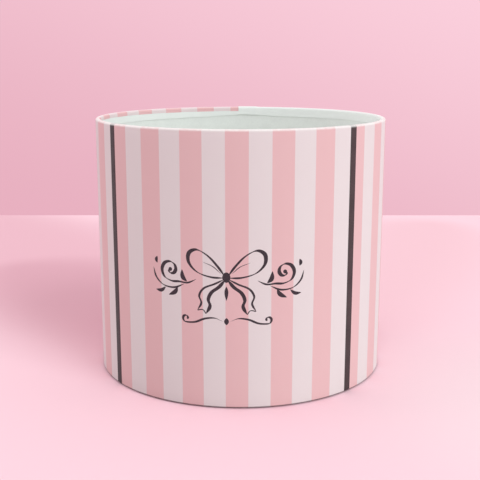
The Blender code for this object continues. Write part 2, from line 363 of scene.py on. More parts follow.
    @staticmethod
    def band(tree: Tree, value: Socket, limit: float, spread: float) -> Socket:
        """Masks what lies under a limit.

        Args:
            tree: The material's node tree.
            value: The measure that is compared.
            limit: Where the mask falls to a half.
            spread: Over how much of the measure it falls.

        Returns:
            One well under the limit, zero well over it.
        """
        fall = {"Value": value, "From Min": limit - spread / 2, "From Max": limit + spread / 2}
        fall |= {"To Min": 1.0, "To Max": 0.0}
        return add_node(tree, "MapRange", fall, interpolation_type="SMOOTHSTEP")


@dataclass(frozen=True)
class UncoatedPaper(Finish):
    """Uncoated wood-free paper, as it leaves the mill.

    The eye sees a dry, matte white with a cloudy look-through of fibres and a fine tooth that takes no
    highlight. The fibres are drawn several times coarser than real ones, which are too fine to show.
    """

    name: str
    colour: str
    fibre_mm: float = 1.1
    cloud_mm: float = 7.0
    relief_depth_mm: float = 0.03

    def surface(self, tree: Tree) -> Surface:
        """Draws the cloudy sheet and its tooth.

        Args:
            tree: The material's node tree.

        Returns:
            The clouds, the dryness and the fibres.
        """
        node = partial(add_node, tree)
        place = node("TexCoord", output="Object")
        cloud = node("TexNoise", {"Vector": place, "Scale": scale_for(self.cloud_mm), "Detail": 3.0})
        fibre = node("TexNoise", {"Vector": place, "Scale": scale_for(self.fibre_mm), "Detail": 8.0})
        both = node("Math", {0: cloud, 1: fibre}, operation="ADD")
        dry = node("MapRange", {"Value": fibre, "To Min": 0.78, "To Max": 0.92})
        colour = shaded(tree, self.colour, both, darkest=0.94, start=0.7, end=1.3)
        return Surface(colour, dry, fibre)


class PlainPaper(Enum):
    """The uncoated papers of the box, each by its material's name and its colour."""

    LINING = ("Paper_uncoated_lining", "#F2F6F2")
    WRAP_BACK = ("Paper_uncoated_back", "#FAF8F4")
    COVER = ("Paper_uncoated_cover", "#F0EBE6")


@dataclass(frozen=True)
class Greyboard(Finish):
    """Solid board pressed from waste paper.

    The eye sees a warm grey with darker and lighter fibre clumps and a few specks of old print, dull all
    over and slightly fuzzy.
    """

    name: str = "Greyboard_pressed"
    colour: str = "#9C968B"
    pale: str = "#BDB7AA"
    speck: str = "#4C4A4B"
    clump_mm: float = 2.5
    speck_apart_mm: float = 3.0
    relief_depth_mm: float = 0.05

    def surface(self, tree: Tree) -> Surface:
        """Draws the clumps and the specks.

        Args:
            tree: The material's node tree.

        Returns:
            The clumps and specks, the dryness and the fuzz.
        """
        node = partial(add_node, tree)
        place = node("TexCoord", output="Object")
        pressed = {"Vector": place, "Scale": scale_for(self.clump_mm), "Detail": 9.0, "Roughness": 0.65}
        clump = node("TexNoise", pressed)
        pale = node("MapRange", {"Value": clump, "From Min": 0.45, "From Max": 0.75})
        near = node("TexVoronoi", {"Vector": place, "Scale": scale_for(self.speck_apart_mm)}, "Distance")
        fading = {"Value": near, "From Min": 0.08, "From Max": 0.14, "To Min": 0.7, "To Max": 0.0}
        specks = node("MapRange", fading)
        colour = linear(self.colour)
        for amount, over in ((pale, self.pale), (specks, self.speck)):
            covered = {AMOUNT: amount, UNDER: colour, OVER: linear(over)}
            colour = node("Mix", covered, MIXED, data_type="RGBA")
        dry = node("MapRange", {"Value": clump, "To Min": 0.85, "To Max": 0.95})
        return Surface(colour, dry, clump)


@dataclass(frozen=True)
class PrintedInk(Finish):
    """Dark offset ink, laid on thick.

    The eye sees a nearly black plum that is a little shinier than the paper round it, with pinholes where
    the paper shows through.
    """

    name: str = "Ink_dark_offset_printed"
    colour: str = "#2A2129"
    worn: str = "#51454D"
    pinhole_mm: float = 0.7
    relief_depth_mm: float = 0.006

    def surface(self, tree: Tree) -> Surface:
        """Draws the ink and its thin places.

        Args:
            tree: The material's node tree.

        Returns:
            The ink, its gloss and its unevenness.
        """
        node = partial(add_node, tree)
        place = node("TexCoord", output="Object")
        thin = node("TexNoise", {"Vector": place, "Scale": scale_for(self.pinhole_mm), "Detail": 5.0})
        amount = node("MapRange", {"Value": thin, "From Min": 0.5, "From Max": 0.8, "To Max": 0.6})
        inks = {AMOUNT: amount, UNDER: linear(self.colour), OVER: linear(self.worn)}
        gloss = node("MapRange", {"Value": thin, "To Min": 0.38, "To Max": 0.55})
        return Surface(node("Mix", inks, MIXED, data_type="RGBA"), gloss, thin)


@dataclass(frozen=True)
class PaintedLightPatch:
    """A long, soft patch of painted shadow, or of painted light if paler, along the line from start to end.
    """

    colour: str
    start: tuple[float, float, float]
    end: tuple[float, float, float]
    reach: float  # How far it fades out round that line, counted there and back


@dataclass(frozen=True)
class StudioPaint(Finish):
    """Matte emulsion on the table top, rolled on and plain to the eye.

    It is painted a deeper pink beside and behind the box, most of all on the left, as the box's painted
    shadow, and a paler one in front on the right, as a painted pool of light. The light that it throws on
    the box is plain, so that the box's own colours stay as they are.
    More of it comes from the right, which rounds the wall while the inside stays in an even shade.
    """

    name: str = "Paint_matte_rolled"
    colour: str = "#FFD7E2"
    # Painted shadows of the box, deeper pink beside and behind it, and a paler painted pool of light in
    # front on the right
    painted_light_patches: tuple[PaintedLightPatch, ...] = (
        PaintedLightPatch("#ECBAC7", (0.03, -0.025, 0.0), (-0.32, 0.46, 0.0), 0.08),
        PaintedLightPatch("#F7CBD5", (-0.035, 0.005, 0.0), (0.195, 0.385, 0.0), 0.085),
        PaintedLightPatch("#FFE4EB", (0.205, -0.05, 0.0), (0.145, -0.095, 0.0), 0.25),
        PaintedLightPatch("#E0ABB9", (0.05, 0.02, 0.0), (-0.18, 0.205, 0.0), 0.08),
    )
    stipple_mm: float = 6.0
    thrown_dim: str = "#A69DA0"  # Colour by which the table lights the box from its dim side
    thrown_bright: str = "#EAF1F0"  # Colour by which it does so from its bright side
    thrown_azimuth: float = math.radians(66.0)  # Azimuth of the bright side
    thrown_dim_until: float = -0.3  # Cosine of the angle from there, up to which the table is dim
    thrown_bright_from: float = 1.0  # Cosine from which it is at its brightest
    relief_depth_mm: float = 0.05

    def surface(self, tree: Tree) -> Surface:
        """Draws the paint with its painted shadows and painted light, the light that it throws, and the
        slight stipple of the roller.

        Args:
            tree: The material's node tree.

        Returns:
            The paint, its dullness and the stipple.
        """
        node = partial(add_node, tree)
        place = node("TexCoord", output="Object")
        stipple = node("TexNoise", {"Vector": place, "Scale": scale_for(self.stipple_mm), "Detail": 4.0})
        pink = linear(self.colour)
        # Lays the painted shadows and the painted light over the plain paint
        for light_patch in self.painted_light_patches:
            to_start = node("VectorMath", {0: place, 1: light_patch.start}, "Value", operation="DISTANCE")
            to_end = node("VectorMath", {0: place, 1: light_patch.end}, "Value", operation="DISTANCE")
            round_trip = node("Math", {0: to_start, 1: to_end}, operation="ADD")
            length = math.dist(light_patch.start, light_patch.end)
            fading = {"Value": round_trip, "From Min": length, "From Max": length + light_patch.reach}
            fading |= {"To Min": 1.0, "To Max": 0.0}
            near = node("MapRange", fading, interpolation_type="SMOOTHSTEP")
            light_patch_mix = {AMOUNT: near, UNDER: pink, OVER: linear(light_patch.colour)}
            pink = node("Mix", light_patch_mix, MIXED, data_type="RGBA")
        towards = (math.sin(self.thrown_azimuth), -math.cos(self.thrown_azimuth), 0.0)
        bearing = node("VectorMath", {0: place}, operation="NORMALIZE")
        forward = node("VectorMath", {0: bearing, 1: towards}, "Value", operation="DOT_PRODUCT")
        climb = {"Value": forward, "From Min": self.thrown_dim_until, "From Max": self.thrown_bright_from}
        climb = node("MapRange", climb, interpolation_type="SMOOTHSTEP")
        plains = {AMOUNT: climb, UNDER: linear(self.thrown_dim), OVER: linear(self.thrown_bright)}
        thrown = node("Mix", plains, MIXED, data_type="RGBA")
        paint = {AMOUNT: seen_directly(tree), UNDER: thrown, OVER: pink}
        paint = node("Mix", paint, MIXED, data_type="RGBA")
        dull = node("MapRange", {"Value": stipple, "To Min": 0.85, "To Max": 0.95})
        return Surface(shaded(tree, paint, stipple, darkest=0.985), dull, stipple)


# Shapes


def in_frame(radius: np.ndarray, azimuth: np.ndarray, height: np.ndarray) -> np.ndarray:
    """Gives the points of the box's frame that lie at radii, azimuths and heights."""
    return np.stack([radius * np.sin(azimuth), -radius * np.cos(azimuth), height], axis=-1)


def ring_of(node: str) -> tuple[float, float, float, float]:
    """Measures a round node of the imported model.

    Args:
        node: The node's name.

    Returns:
        Its smallest and largest radius and its lowest and highest height.
    """
    points = np.array([vertex.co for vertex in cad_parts[node].data.vertices])
    radii = np.hypot(points[:, 0], points[:, 1])
    return radii.min(), radii.max(), points[:, 2].min(), points[:, 2].max()


def smooth(share: np.ndarray) -> np.ndarray:
    """Eases a share from zero to one, flat at both ends."""
    held = np.clip(share, 0.0, 1.0)
    return held * held * (3 - 2 * held)


def freedom(share: np.ndarray) -> np.ndarray:
    """Gives how free paper is at shares of a wall's height, from 0 at its ends to 1 in its middle."""
    return np.sin(math.pi * np.clip(share, 0.0, 1.0)) ** 0.5


def arc(centre: Point, radius: np.ndarray, start: float, end: float, steps: int) -> np.ndarray:
    """Gives points of an arc in the (radius, height) plane, one arc for each column of a sheet.

    Args:
        centre: Centre of the arcs.
        radius: Their radii.
        start: First angle in degrees, from the outward direction.
        end: Last angle in degrees.
        steps: Number of steps between them.

    Returns:
        An array of columns, points and the two coordinates.
    """
    angles = np.radians(np.linspace(start, end, steps + 1))
    return np.array(centre) + radius[:, None, None] * np.stack([np.cos(angles), np.sin(angles)], axis=-1)


def waves(places: np.ndarray, lengths: tuple[float, ...], seed: int) -> np.ndarray:
    """Adds up waves round the box into a smooth unevenness.

    Args:
        places: Azimuths.
        lengths: Rough lengths of the waves, of which whole ones are fitted into a turn.
        seed: Seed of where they start.

    Returns:
        A height between -1 and 1 for each place.
    """
    rng = np.random.default_rng(seed)
    total = np.zeros_like(places)
    for length in lengths:
        count = max(1, round(TURN_LENGTH / length))
        total += np.sin(count * places + rng.uniform(0, math.tau))
    return total / len(lengths)


def skin(shape: bmesh.types.BMesh, rings: list[list[list[float]]]) -> list[list[bmesh.types.BMVert]]:
    """Adds a tube through rings of points, with open ends.

    Args:
        shape: The shape that it goes into.
        rings: The rings, which all have as many points.

    Returns:
        The corners of each ring.
    """
    loops = [[shape.verts.new(point) for point in ring] for ring in rings]
    for here, there in zip(loops, loops[1:]):
        for corners in zip(here, here[1:] + here[:1], there[1:] + there[:1], there):
            shape.faces.new(corners)
    return loops


def mesh_of(shape: bmesh.types.BMesh, name: str, finish: bpy.types.Material) -> bpy.types.Mesh:
    """Turns a closed shape into a mesh.

    Args:
        shape: The shape, which is freed.
        name: The mesh's name.
        finish: Its material.

    Returns:
        The mesh, with its faces turned outwards.
    """
    bmesh.ops.recalc_face_normals(shape, faces=shape.faces[:])
    mesh = bpy.data.meshes.new(name)
    shape.to_mesh(mesh)
    shape.free()
    mesh.materials.append(finish)
    return mesh


def add_piece(name: str, mesh: bpy.types.Mesh, replaced: str | None = None) -> None:
    """Puts a mesh into the scene as a piece that rides on the box, and reports it.

    Args:
        name: The piece's name.
        mesh: Its mesh.
        replaced: The node that it stands for, if there is one.
    """
    piece = bpy.data.objects.new(name, mesh)
    bpy.context.scene.collection.objects.link(piece)
    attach(piece, BODY)
    if replaced:
        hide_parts(replaced)
    log.info("%s: %d faces", name, len(mesh.polygons))


# Sheets


class Columns(NamedTuple):
    """The columns of points across a rolled sheet, from its hidden end to the seam."""

    azimuth: np.ndarray
    lift: np.ndarray
    trimmed: np.ndarray


@dataclass(frozen=True)
class BoxSizes:
    """Radii and heights of the paper faces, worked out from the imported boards."""

    outer_radius: float  # The printed face of the wrap
    lining_radius: float  # The bare face of the lining
    turn_in_radius: float  # The face of the wrap's turned-in edge, over the lining
    top: float  # The top of the rim
    tab_height: float  # The underside of the wrap's tabs
    lining_foot: float  # The upper face of the lining's tabs
    rounding_share: float = 0.4  # Share of the rim's thickness that each of its edges is rounded by

    @classmethod
    def from_frame(cls) -> BoxSizes:
        """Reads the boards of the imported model.

        Returns:
            The sizes that follow from them.
        """
        _, ply_radius, ply_foot, board_top = ring_of("wall_outer_ply")
        bore, _, _, _ = ring_of("wall_inner_ply")
        _, _, _, board_face = ring_of("base_upper_board")
        lining = bore - GLUE - PAPER
        return cls(
            outer_radius=ply_radius + GLUE + PAPER,
            lining_radius=lining,
            turn_in_radius=lining - GLUE - PAPER,
            top=board_top + GLUE + PAPER,
            tab_height=ply_foot - GLUE - PAPER,
            lining_foot=board_face + GLUE + PAPER,
        )

    @property
    def rounding(self) -> float:
        """Radius of the rim's edges."""
        return self.rounding_share * (self.outer_radius - self.turn_in_radius)


@dataclass(kw_only=True)
class RolledSheet(ABC):
    """A sheet rolled once round, with its end lapped over its start and tabs along one edge."""

    sizes: BoxSizes
    seam: float  # Azimuth of the end that shows
    lap: float  # How far the sheet lies over its own start
    tab: float  # How far the tabs reach in from the wall
    notch: float  # How far from the wall the notches between them start
    joint_azimuth: float  # Azimuth of the joint of the board behind the sheet
    tab_stub: float = 0.0002  # What is left of the tabs where the sheet lies double
    fold_rounding: float = 0.0006
    joint_dent: float = 0.00006  # How deep the sheet sinks over the board's joint
    joint_width: float = 0.0009  # Width of the dent
    ramp: float = 0.004  # Length of the climb onto the start
    clearance: float = 0.0005  # What the climb keeps from the start's edge
    finest: float = math.radians(0.52)  # Widest angle between two columns
    wall_rows: int = 24
    fold_rows: int = 4

    name: ClassVar[str]
    replaced: ClassVar[str]
    slot: ClassVar[str]

    @property
    @abstractmethod
    def radius(self) -> float:
        """Radius of the face that shows, on which lengths along the sheet are counted."""

    @property
    @abstractmethod
    def tooth_turn(self) -> float:
        """Angle of one tab."""

    @property
    @abstractmethod
    def tooth_origin(self) -> float:
        """Azimuth of a notch between two tabs."""

    @abstractmethod
    def section(self, columns: Columns) -> np.ndarray:
        """Gives each column's path over the face that shows, as (radius, height) points."""

    @abstractmethod
    def middle_row(self) -> int:
        """Number of the path point from which lengths across the sheet are counted."""

    @property
    def start(self) -> float:
        """Azimuth of the end that the lap hides."""
        return self.seam - math.tau - self.lap / self.radius

    def columns(self) -> Columns:
        """Spaces the columns evenly between the notches and tips of the tabs.

        Returns:
            The columns, with their lift over the sheet's start and whether their tabs are trimmed.
        """
        start, seam = self.start, self.seam
        near = self.clearance / self.radius
        ramp_end = start + math.tau - near
        ramp_start = ramp_end - self.ramp / self.radius
        half = self.tooth_turn / 2
        first = math.floor((start - self.tooth_origin) / half)
        marks = self.tooth_origin + half * np.arange(first, first + 2 + math.ceil((seam - start) / half))
        fixed = np.array([start, ramp_start, ramp_end, seam])
        apart = np.abs(marks[:, None] - fixed[None]).min(axis=1) > near
        stops = np.sort(np.concatenate([fixed, marks[apart & (marks > start) & (marks < seam)]]))
        runs = []
        for here, after in zip(stops, stops[1:]):
            runs.append(np.linspace(here, after, math.ceil((after - here) / self.finest), endpoint=False))
        azimuth = np.concatenate([*runs, [seam]])
        share = (azimuth - ramp_start) / (ramp_end - ramp_start)
        return Columns(azimuth, smooth(share) * (PAPER + GLUE), azimuth >= ramp_start)

    def reach(self, azimuth: np.ndarray) -> np.ndarray:
        """Gives how far the saw-tooth of the tabs reaches in from the wall."""
        tooth = 1 - np.abs(2 * ((azimuth - self.tooth_origin) / self.tooth_turn % 1) - 1)
        return self.notch + (self.tab - self.notch) * tooth

    def tab_ends(self, columns: Columns) -> np.ndarray:
        """Gives the radii at which the tabs end, trimmed where the sheet lies double."""
        stub = self.fold_rounding + self.tab_stub
        return self.radius - np.where(columns.trimmed, stub, self.reach(columns.azimuth))

    def dent(self, azimuth: np.ndarray) -> np.ndarray:
        """Gives how deep each column sinks over the board's joint."""
        away = (azimuth - self.joint_azimuth) * self.radius / (self.joint_width / 2)
        return self.joint_dent * np.exp(-(away**2))[:, None]

    def build(self, front: bpy.types.Material, back: bpy.types.Material) -> None:
        """Builds the sheet as a closed body: a face that shows, a back, and the cut edges between.

        Args:
            front: Material of the face that shows.
            back: Material of the back and the edges.
        """
        columns = self.columns()
        face = self.section(columns)
        sides = []
        for path in (face, face - PAPER * self.outward(face)):
            points = in_frame(path[..., 0], columns.azimuth[:, None], path[..., 1])
            sides.append(points.reshape(-1, 3))
        count, rows = face.shape[:2]
        index = np.arange(count * rows).reshape(count, rows)
        quads = np.stack([index[:-1, :-1], index[:-1, 1:], index[1:, 1:], index[1:, :-1]], axis=-1)
        quads = quads.reshape(-1, 4)
        rim = np.concatenate([index[0, :], index[1:, -1], index[-1, -2::-1], index[-2:0:-1, 0]])
        after = np.roll(rim, -1)
        behind = count * rows
        edges = np.stack([after, rim, rim + behind, after + behind], axis=-1)
        faces = np.concatenate([quads, quads[:, ::-1] + behind, edges])
        mesh = bpy.data.meshes.new(self.name)
        mesh.from_pydata(np.concatenate(sides).tolist(), [], faces.tolist())
        self.lay_out(mesh, columns, face)
        mesh.materials.append(front)
        mesh.materials.append(back)
        is_back = np.arange(len(faces)) >= len(quads)
        mesh.polygons.foreach_set("material_index", is_back.astype(np.int32))
        mesh.shade_smooth()
        mesh.set_sharp_from_angle(angle=SMOOTH_UP_TO)
        add_piece(self.name, mesh, self.replaced)

    def outward(self, face: np.ndarray) -> np.ndarray:
        """Gives the direction out of the face that shows.

        Args:
            face: The paths of the face.

        Returns:
            A direction for each point, lengthened at bends to keep the sheet's thickness even.
        """
        runs = np.diff(face, axis=1)
        runs /= np.linalg.norm(runs, axis=2, keepdims=True)
        normals = np.stack([-runs[..., 1], runs[..., 0]], axis=-1)
        before = np.concatenate([normals[:, :1], normals], axis=1)
        behind = np.concatenate([normals, normals[:, -1:]], axis=1)
        both = before + behind
        return 2 * both / (both**2).sum(axis=2, keepdims=True)

    def lay_out(self, mesh: bpy.types.Mesh, columns: Columns, face: np.ndarray) -> None:
        """Maps the sheet as it lay flat, in metres along it and across it.

        Args:
            mesh: The sheet's mesh, whose face points come first and then its back points.
            columns: The sheet's columns.
            face: The paths that the mesh was made from.
        """
        steps = np.linalg.norm(np.diff(face, axis=1), axis=2)
        across = np.concatenate([np.zeros((len(face), 1)), steps.cumsum(axis=1)], axis=1)
        across -= across[:, [self.middle_row()]]
        along = np.repeat((columns.azimuth * self.radius)[:, None], face.shape[1], axis=1)
        flat = np.stack([along, across], axis=-1).reshape(-1, 2)
        flat = np.concatenate([flat, flat])
        corners = np.empty(len(mesh.loops), dtype=np.int32)
        mesh.loops.foreach_get("vertex_index", corners)
        layer = mesh.uv_layers.new(name=SHEET_MAP)
        layer.uv.foreach_set("vector", flat[corners].astype(np.float32).ravel())


@dataclass(kw_only=True)
class OuterWrap(RolledSheet):
    """The printed sheet round the wall: turned in over the rim, and tabbed under the base."""

    layout: PrintLayout  # The print, whose stripes are as wide as the tabs
    doubled: tuple[float, float]  # Azimuths between which the lining under the turned-in edge lies double
    seam: float = math.radians(181.0)
    lap: float = 0.010
    tab: float = 0.012
    notch: float = 0.0020
    joint_azimuth: float = math.radians(160.0)
    turn_in: float = 0.0066
    snip_depth: float = 0.0016  # What the sheet's two ends are snipped short by at the rim
    snip_length: float = 0.030  # How far from its ends the snips run out
    trim_skew: float = 0.0012  # How much shallower the edge is on the right, where it is cut askew
    trim_waver: float = 0.00018  # How far the cut wavers, in waves of the lengths trim_waves
    trim_waves: tuple[float, ...] = (0.09, 0.05, 0.021)
    cockle: float = 0.00007  # How far the glue makes the paper stand off the wall
    cockle_waves: tuple[float, ...] = (0.16, 0.07, 0.043)
    slanted_waves: tuple[float, ...] = (0.11, 0.052)  # Lengths of the waves that lean
    slant: float = 0.9  # How far those turn from the foot to the rim
    pucker: float = 0.00012  # Height of the tallest crease in the turned-in edge
    pucker_width: float = 0.0030
    puckers: int = 46
    pucker_stray: float = 0.35  # How far a crease strays from its even place, as a share of their spacing
    pucker_heights: tuple[float, float] = (0.25, 1.0)  # Least and greatest, as shares of pucker
    pucker_widths: tuple[float, float] = (0.6, 1.2)  # Least and greatest, as shares of pucker_width
    flap_rows: int = 7
    rounding_rows: int = 7

    name = "printed_wrap"
    replaced = "outer_wrap"
    slot = "wrap_paper"

    @property
    def radius(self) -> float:
        """Radius of the printed face."""
        return self.sizes.outer_radius

    @property
    def tooth_turn(self) -> float:
        """Angle of one tab, as wide as a stripe."""
        return self.layout.stripe_width / self.radius

    @property
    def tooth_origin(self) -> float:
        """Azimuth of a notch, at the edge of a stripe."""
        return self.layout.centre / self.radius

    def middle_row(self) -> int:
        """The outer end of the flat strip on top of the rim, a hair's breadth from its middle."""
        return self.flap_rows + self.rounding_rows + 1

    def turn_in_depth(self, azimuth: np.ndarray) -> np.ndarray:
        """Gives the depth of the turned-in edge, snipped at the sheet's ends and cut a little unevenly.

        Args:
            azimuth: Azimuth of each column.

        Returns:
            The depth at each column.
        """
        from_end = np.minimum(azimuth - self.start, self.seam - azimuth) * self.radius
        snip = self.snip_depth * np.maximum(0.0, 1 - from_end / self.snip_length)
        askew = self.trim_skew * (1 + np.sin(azimuth)) / 2
        uneven = self.trim_waver * waves(azimuth, self.trim_waves, PUCKER_SEED + 1)
        return self.turn_in - snip - askew + uneven

    def creases(self, azimuth: np.ndarray) -> np.ndarray:
        """Gives the height of the small creases where the turned-in edge has too much paper.

        Args:
            azimuth: Azimuth of each column.

        Returns:
            The height at each column.
        """
        rng = np.random.default_rng(PUCKER_SEED)
        centres = np.linspace(-math.pi, math.pi, self.puckers, endpoint=False)
        stray = rng.uniform(-self.pucker_stray, self.pucker_stray, self.puckers)
        centres += stray * math.tau / self.puckers
        heights = rng.uniform(*self.pucker_heights, self.puckers)
        widths = self.pucker_width * rng.uniform(*self.pucker_widths, self.puckers)
        away = (azimuth[:, None] - centres[None] + math.pi) % math.tau - math.pi
        shape = np.exp(-((away * self.sizes.turn_in_radius / (widths[None] / 2)) ** 2))
        return self.pucker * (heights * shape).max(axis=1)

    def section(self, columns: Columns) -> np.ndarray:
        """Gives the path from the turned-in edge over the rim and down to the tip of a tab.

        Args:
            columns: The sheet's columns.

        Returns:
            The (radius, height) points of each column.
        """
        sizes = self.sizes
        azimuth, lift, _ = columns
        shoulder = sizes.top - sizes.rounding
        over_lap = self.over_lap(azimuth)

        shares = np.linspace(0.0, 1.0, self.flap_rows, endpoint=False)
        crease = self.creases(azimuth)[:, None] * (1 - shares) ** 2
        flap_radius = (sizes.turn_in_radius - lift - over_lap)[:, None] - crease
        edge = (sizes.top - self.turn_in_depth(azimuth))[:, None]
        flap = np.stack([flap_radius, edge + (shoulder - edge) * shares], axis=-1)

        bend = sizes.rounding + lift
        over = arc((sizes.turn_in_radius + sizes.rounding, shoulder), bend, 180, 90, self.rounding_rows)
        over[..., 0] -= over_lap[:, None] * np.linspace(1.0, 0.0, self.rounding_rows + 1)
        down = arc((sizes.outer_radius - sizes.rounding, shoulder), bend, 90, 0, self.rounding_rows)

        centre = (sizes.outer_radius - self.fold_rounding, sizes.tab_height + self.fold_rounding)
        fold = arc(centre, self.fold_rounding + lift, 0, -90, self.fold_rows)
        shares = np.linspace(0.0, 1.0, self.wall_rows + 1)[1:-1, None]
        wall = down[:, -1:] + (fold[:, :1] - down[:, -1:]) * shares
        wall[..., 0] += self.unevenness(azimuth, wall[..., 1])
        tip = np.stack([self.tab_ends(columns), sizes.tab_height - lift], axis=-1)[:, None]
        return np.concatenate([flap, over, down, wall, fold, tip], axis=1)

    def over_lap(self, azimuth: np.ndarray) -> np.ndarray:
        """Gives how far the turned-in edge stands in where the lining under it lies double.

        Args:
            azimuth: Azimuth of each column.

        Returns:
            The length at each column.
        """
        start, end = self.doubled
        climb = self.ramp / self.radius
        up = smooth((azimuth - start) / climb + 1)
        down = smooth((end - azimuth) / climb + 1)
        return (PAPER + GLUE) * up * down

    def unevenness(self, azimuth: np.ndarray, height: np.ndarray) -> np.ndarray:
        """Gives how far the wall's paper stands off its true cylinder.

        Args:
            azimuth: Azimuth of each column.
            height: Heights of each column's points.

        Returns:
            Small lengths, outwards where the glue has cockled the paper and inwards over the board's joint.
        """
        share = (height - self.sizes.tab_height) / (self.sizes.top - self.sizes.tab_height)
        upright = waves(azimuth, self.cockle_waves, COCKLE_SEED)[:, None]
        leaning = waves(azimuth[:, None] + self.slant * share, self.slanted_waves, COCKLE_SEED + 1)
        # The two add up to between -2 and 2, and the paper never stands in
        swell = self.cockle * (2 + upright + leaning) / 4
        return (swell - self.dent(azimuth)) * freedom(share)


@dataclass(kw_only=True)
class WallLining(RolledSheet):
    """The plain sheet inside the wall, tabbed onto the base and tucked under the wrap's turned-in edge."""

    seam: float = math.radians(12.0)
    lap: float = 0.008
    tab: float = 0.008
    notch: float = 0.0015
    joint_azimuth: float = math.radians(-20.0)
    top_margin: float = 0.0010  # How far its top edge stays under the rim's rounded edge
    tab_pitch: float = 0.010  # Rough width of a tab, of which whole ones are fitted into a turn

    name = "lining_sheet"
    replaced = "wall_lining"
    slot = "lining_paper"

    @property
    def radius(self) -> float:
        """Radius of the bare face."""
        return self.sizes.lining_radius

    @property
    def tooth_turn(self) -> float:
        """Angle of one tab."""
        return math.tau / round(math.tau * self.radius / self.tab_pitch)

    @property
    def tooth_origin(self) -> float:
        """Azimuth of a notch, at the seam."""
        return self.seam

    def middle_row(self) -> int:
        """The top edge."""
        return self.fold_rows + 1 + self.wall_rows

    def doubled(self) -> tuple[float, float]:
        """Gives the azimuths between which the sheet lies double or climbs onto its start."""
        return self.seam - (self.lap + self.clearance + self.ramp) / self.radius, self.seam

    def section(self, columns: Columns) -> np.ndarray:
        """Gives the path from the tip of a tab out to the wall and up to the top edge.

        Args:
            columns: The sheet's columns.

        Returns:
            The (radius, height) points of each column.
        """
        sizes = self.sizes
        azimuth, lift, _ = columns
        tip = np.stack([self.tab_ends(columns), sizes.lining_foot + lift], axis=-1)[:, None]
        centre = (sizes.lining_radius - self.fold_rounding, sizes.lining_foot + self.fold_rounding)
        fold = arc(centre, self.fold_rounding - lift, -90, 0, self.fold_rows)
        tucked = np.full_like(lift, sizes.top - sizes.rounding - self.top_margin)
        end = np.stack([sizes.lining_radius - lift, tucked], axis=-1)[:, None]
        shares = np.linspace(0.0, 1.0, self.wall_rows + 1)[1:, None]
        wall = fold[:, -1:] + (end - fold[:, -1:]) * shares
        share = (wall[..., 1] - sizes.lining_foot) / (sizes.top - sizes.lining_foot)
        wall[..., 0] += self.dent(azimuth) * freedom(share)
        return np.concatenate([tip, fold, wall], axis=1)


@dataclass
class PaperDisc:
    """A disc of paper glued over a ring of tabs, whose saw-tooth shows through it."""

    name: str
    replaced: str
    slot: str
    tabbed: RolledSheet  # The sheet whose tabs it covers
    bulge: float  # Depth by which the disc sinks between and inside the tabs, along +Z or -Z
    soften: float = 0.0009  # Width over which it sinks at a tab's edge
    columns: int = 720
    first_ring: float = 0.012  # Radius of its innermost ring of points
    open_rings: int = 6
    tab_rings: int = 34

    def sunk(self, radius: np.ndarray, azimuth: np.ndarray) -> np.ndarray:
        """Gives the share by which the disc has sunk at each point, 0 over a tab and 1 between tabs."""
        edge = self.tabbed.radius - self.tabbed.reach(azimuth)
        return smooth((edge - radius) / self.soften + 0.5)

    def build(self, finish: bpy.types.Material) -> None:
        """Builds the disc as a closed body.

        Args:
            finish: Its material.
        """
        _, outer, bottom, top = ring_of(self.replaced)
        tabs = self.tabbed.radius - self.tabbed.tab - 2 * self.soften
        open_radii = np.linspace(self.first_ring, tabs, self.open_rings)
        radii = np.concatenate([open_radii, np.linspace(tabs, outer, self.tab_rings)[1:]])
        turns = np.linspace(0.0, math.tau, self.columns, endpoint=False)
        radius, azimuth = np.meshgrid(radii, turns, indexing="ij")
        sunk = self.sunk(radius, azimuth) * self.bulge
        under = in_frame(radius, azimuth, bottom + sunk)
        upper = in_frame(radius, azimuth, top + sunk)
        shape = bmesh.new()
        loops = skin(shape, [*under.tolist(), *upper[::-1].tolist()])
        for loop, level in ((loops[0], bottom), (loops[-1], top)):
            hub = shape.verts.new((0.0, 0.0, level + self.bulge))
            for here, after in zip(loop, loop[1:] + loop[:1]):
                shape.faces.new((hub, here, after))
        mesh = mesh_of(shape, self.name, finish)
        mesh.shade_smooth()
        mesh.set_sharp_from_angle(angle=SMOOTH_UP_TO)
        add_piece(self.name, mesh, self.replaced)


# Ornament


def through(points: list[Point], steps: int = 14) -> np.ndarray:
    """Samples a smooth curve that passes through points.

    Args:
        points: The points, in order.
        steps: Number of samples from each point to the next.

    Returns:
        The samples, with the last point at their end.
    """
    known = np.array(points)
    padded = np.vstack([2 * known[0] - known[1], known, 2 * known[-1] - known[-2]])
    share = np.linspace(0.0, 1.0, steps, endpoint=False)[:, None]
    runs = []
    for before, here, after, later in zip(padded, padded[1:], padded[2:], padded[3:]):
        bend = 2 * before - 5 * here + 4 * after - later
        twist = 3 * (here - after) + later - before
        runs.append(here + 0.5 * ((after - before) * share + bend * share**2 + twist * share**3))
    return np.concatenate([*runs, known[-1:]])


def curl(centre: Point, start: float, turn: float, outer: float, inner: float) -> list[Point]:
    """Gives the points of a spiral that winds in.

    Args:
        centre: Its middle, in millimetres.
        start: Direction of its first point, in degrees from the right.
        turn: How far it winds, in degrees.
        outer: First radius, in millimetres.
        inner: Last radius, in millimetres.

    Returns:
        About eight points for each turn.
    """
    shares = np.linspace(0.0, 1.0, round(abs(turn) / CURL_STEP) + 1)
    radii = outer + (inner - outer) * shares
    angles = np.radians(start + turn * shares)
    return list(zip(centre[0] + radii * np.cos(angles), centre[1] + radii * np.sin(angles)))


